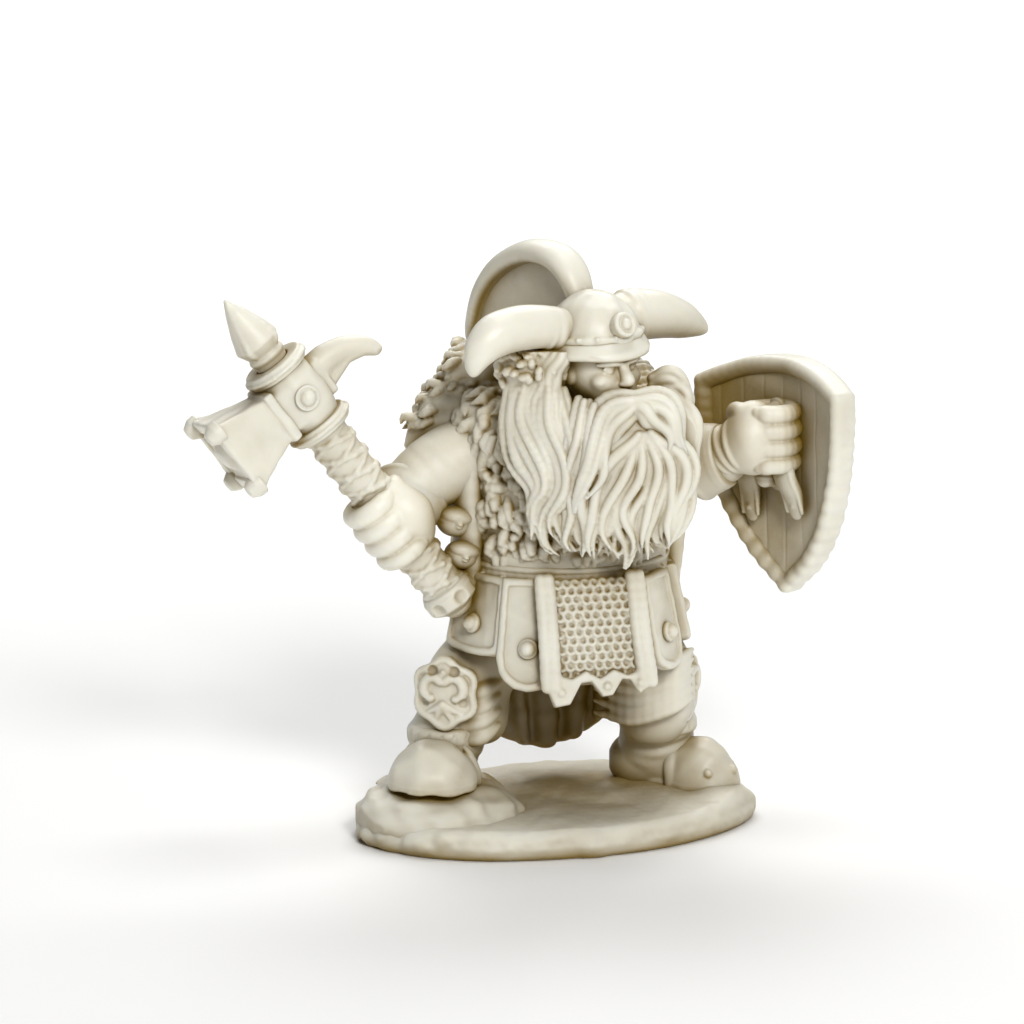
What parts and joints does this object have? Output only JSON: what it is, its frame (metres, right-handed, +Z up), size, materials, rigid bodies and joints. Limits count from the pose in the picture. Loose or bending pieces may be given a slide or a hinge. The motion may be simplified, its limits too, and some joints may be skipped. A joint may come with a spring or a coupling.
{
  "type": "miniature figure",
  "caption": "Unpainted cast miniature of a bearded dwarf warrior with a horned helmet, war hammer and shield on an oval base.",
  "frame": {"origin": "middle of the base's flat underside", "axes": "+Z up; the figure's front faces -Y; +X towards the shield, the row's longest side; the hammer is on -X"},
  "size_m": [0.0323, 0.0158, 0.0287],
  "materials": {
    "armour_plastic": "matte",
    "base_plastic": "matte",
    "boot_plastic": "matte",
    "cloth_plastic": "matte",
    "fur_plastic": "matte",
    "hair_plastic": "matte",
    "horn_plastic": "matte",
    "leather_plastic": "matte",
    "shield_plastic": "matte",
    "skin_plastic": "matte",
    "weapon_plastic": "matte"
  },
  "bodies": {
    "root": {"base_disc": "base_plastic", "base_rock": "base_plastic", "beard": "hair_plastic", "belt": "leather_plastic", "belt_pouches": "leather_plastic", "cloak": "fur_plastic", "crest_rim": "armour_plastic", "crest_web": "armour_plastic", "fur_mantle": "fur_plastic", "fur_vest": "fur_plastic", "haft_pommel": "weapon_plastic", "haft_wrap": "leather_plastic", "hammer_beak": "weapon_plastic", "hammer_block": "weapon_plastic", "hammer_bosses": "weapon_plastic", "hammer_collars": "weapon_plastic", "hammer_haft": "weapon_plastic", "hammer_socket": "weapon_plastic", "hammer_spike": "weapon_plastic", "hammer_studs": "weapon_plastic", "head": "skin_plastic", "helmet_boss": "armour_plastic", "helmet_brim": "armour_plastic", "helmet_dome": "armour_plastic", "hips": "cloth_plastic", "horn_left": "horn_plastic", "horn_right": "horn_plastic", "left_boot": "boot_plastic", "left_boot_cuff": "boot_plastic", "left_hair": "hair_plastic", "left_hand": "skin_plastic", "left_knee_guard": "armour_plastic", "left_leg": "cloth_plastic", "left_sleeve": "cloth_plastic", "left_toe_cap": "armour_plastic", "left_wrist_cuff": "leather_plastic", "moustache": "hair_plastic", "right_boot": "boot_plastic", "right_boot_cuff": "boot_plastic", "right_hair": "hair_plastic", "right_hand": "skin_plastic", "right_knee_guard": "armour_plastic", "right_leg": "cloth_plastic", "right_sleeve": "cloth_plastic", "right_toe_cap": "armour_plastic", "right_wrist_cuff": "leather_plastic", "shield_board": "shield_plastic", "shield_boss": "shield_plastic", "shield_grip": "shield_plastic", "shield_rim": "shield_plastic", "shield_straps": "leather_plastic", "tabard": "cloth_plastic", "tabard_border": "cloth_plastic", "tasset_left_front": "armour_plastic", "tasset_left_side": "armour_plastic", "tasset_right_front": "armour_plastic", "tasset_right_side": "armour_plastic", "tasset_rivets": "armour_plastic", "torso": "cloth_plastic"}
  },
  "joints": []
}
